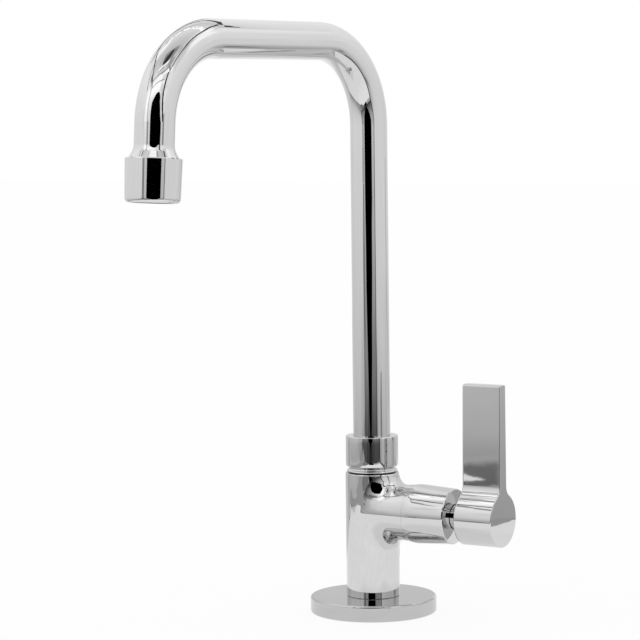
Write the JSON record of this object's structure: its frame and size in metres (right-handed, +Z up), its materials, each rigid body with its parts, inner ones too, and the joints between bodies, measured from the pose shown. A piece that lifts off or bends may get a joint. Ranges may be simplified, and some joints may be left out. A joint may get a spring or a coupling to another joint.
{
  "type": "kitchen tap",
  "caption": "Deck-mounted kitchen tap with a swivelling square-arch tube spout, a side valve arm and a quarter-turn lever handle, in polished chrome.",
  "frame": {"origin": "centre of the base disc's seat on the deck", "axes": "+Z up along the column, +X along the valve arm towards the lever; the spout at rest points 5.5 degrees from -Y towards -X"},
  "size_m": [0.1001, 0.196, 0.3335],
  "materials": {
    "chrome": "mirror-polished chrome plate on brass and on the spout's steel tube",
    "brass": "turned, unplated brass",
    "steel": "plain stainless steel",
    "rubber": "black sealing rubber",
    "ceramic": "lapped alumina",
    "plastic": "natural acetal"
  },
  "bodies": {
    "root": {"base_flange": "chrome", "tap_body": "chrome", "collar_nut": "chrome", "valve_bonnet": "chrome", "cartridge_body": "chrome", "inlet_shank": "brass", "back_nut": "brass", "deck_washer": "steel", "base_gasket": "rubber", "deck_gasket": "rubber", "seat_seal": "rubber", "fixed_disc": "ceramic", "slip_ring_lower": "plastic", "slip_ring_upper": "plastic", "friction_washer": "plastic"},
    "spout": {"spout_tube": "chrome", "spout_tailpiece": "brass", "spout_o_ring_lower": "rubber", "spout_o_ring_upper": "rubber", "outlet_adapter": "brass", "aerator_housing": "chrome", "aerator_gasket": "rubber", "aerator_screen": "steel", "aerator_diffuser": "plastic", "aerator_insert": "plastic"},
    "handle": {"lever_handle": "chrome", "spindle": "brass", "spindle_o_ring_inner": "rubber", "spindle_o_ring_outer": "rubber", "moving_disc": "ceramic", "circlip": "steel", "grub_screw": "steel"}
  },
  "joints": [
    {"name": "spout_swivel", "type": "hinge", "parent": "root", "child": "spout", "pos_m": [0, 0, 0], "axis": [0, 0, 1], "continuous": true},
    {"name": "lever_turn", "type": "hinge", "parent": "root", "child": "handle", "pos_m": [0, 0, 0.0485], "axis": [1, 0, 0], "range_deg": [0, 90]}
  ]
}
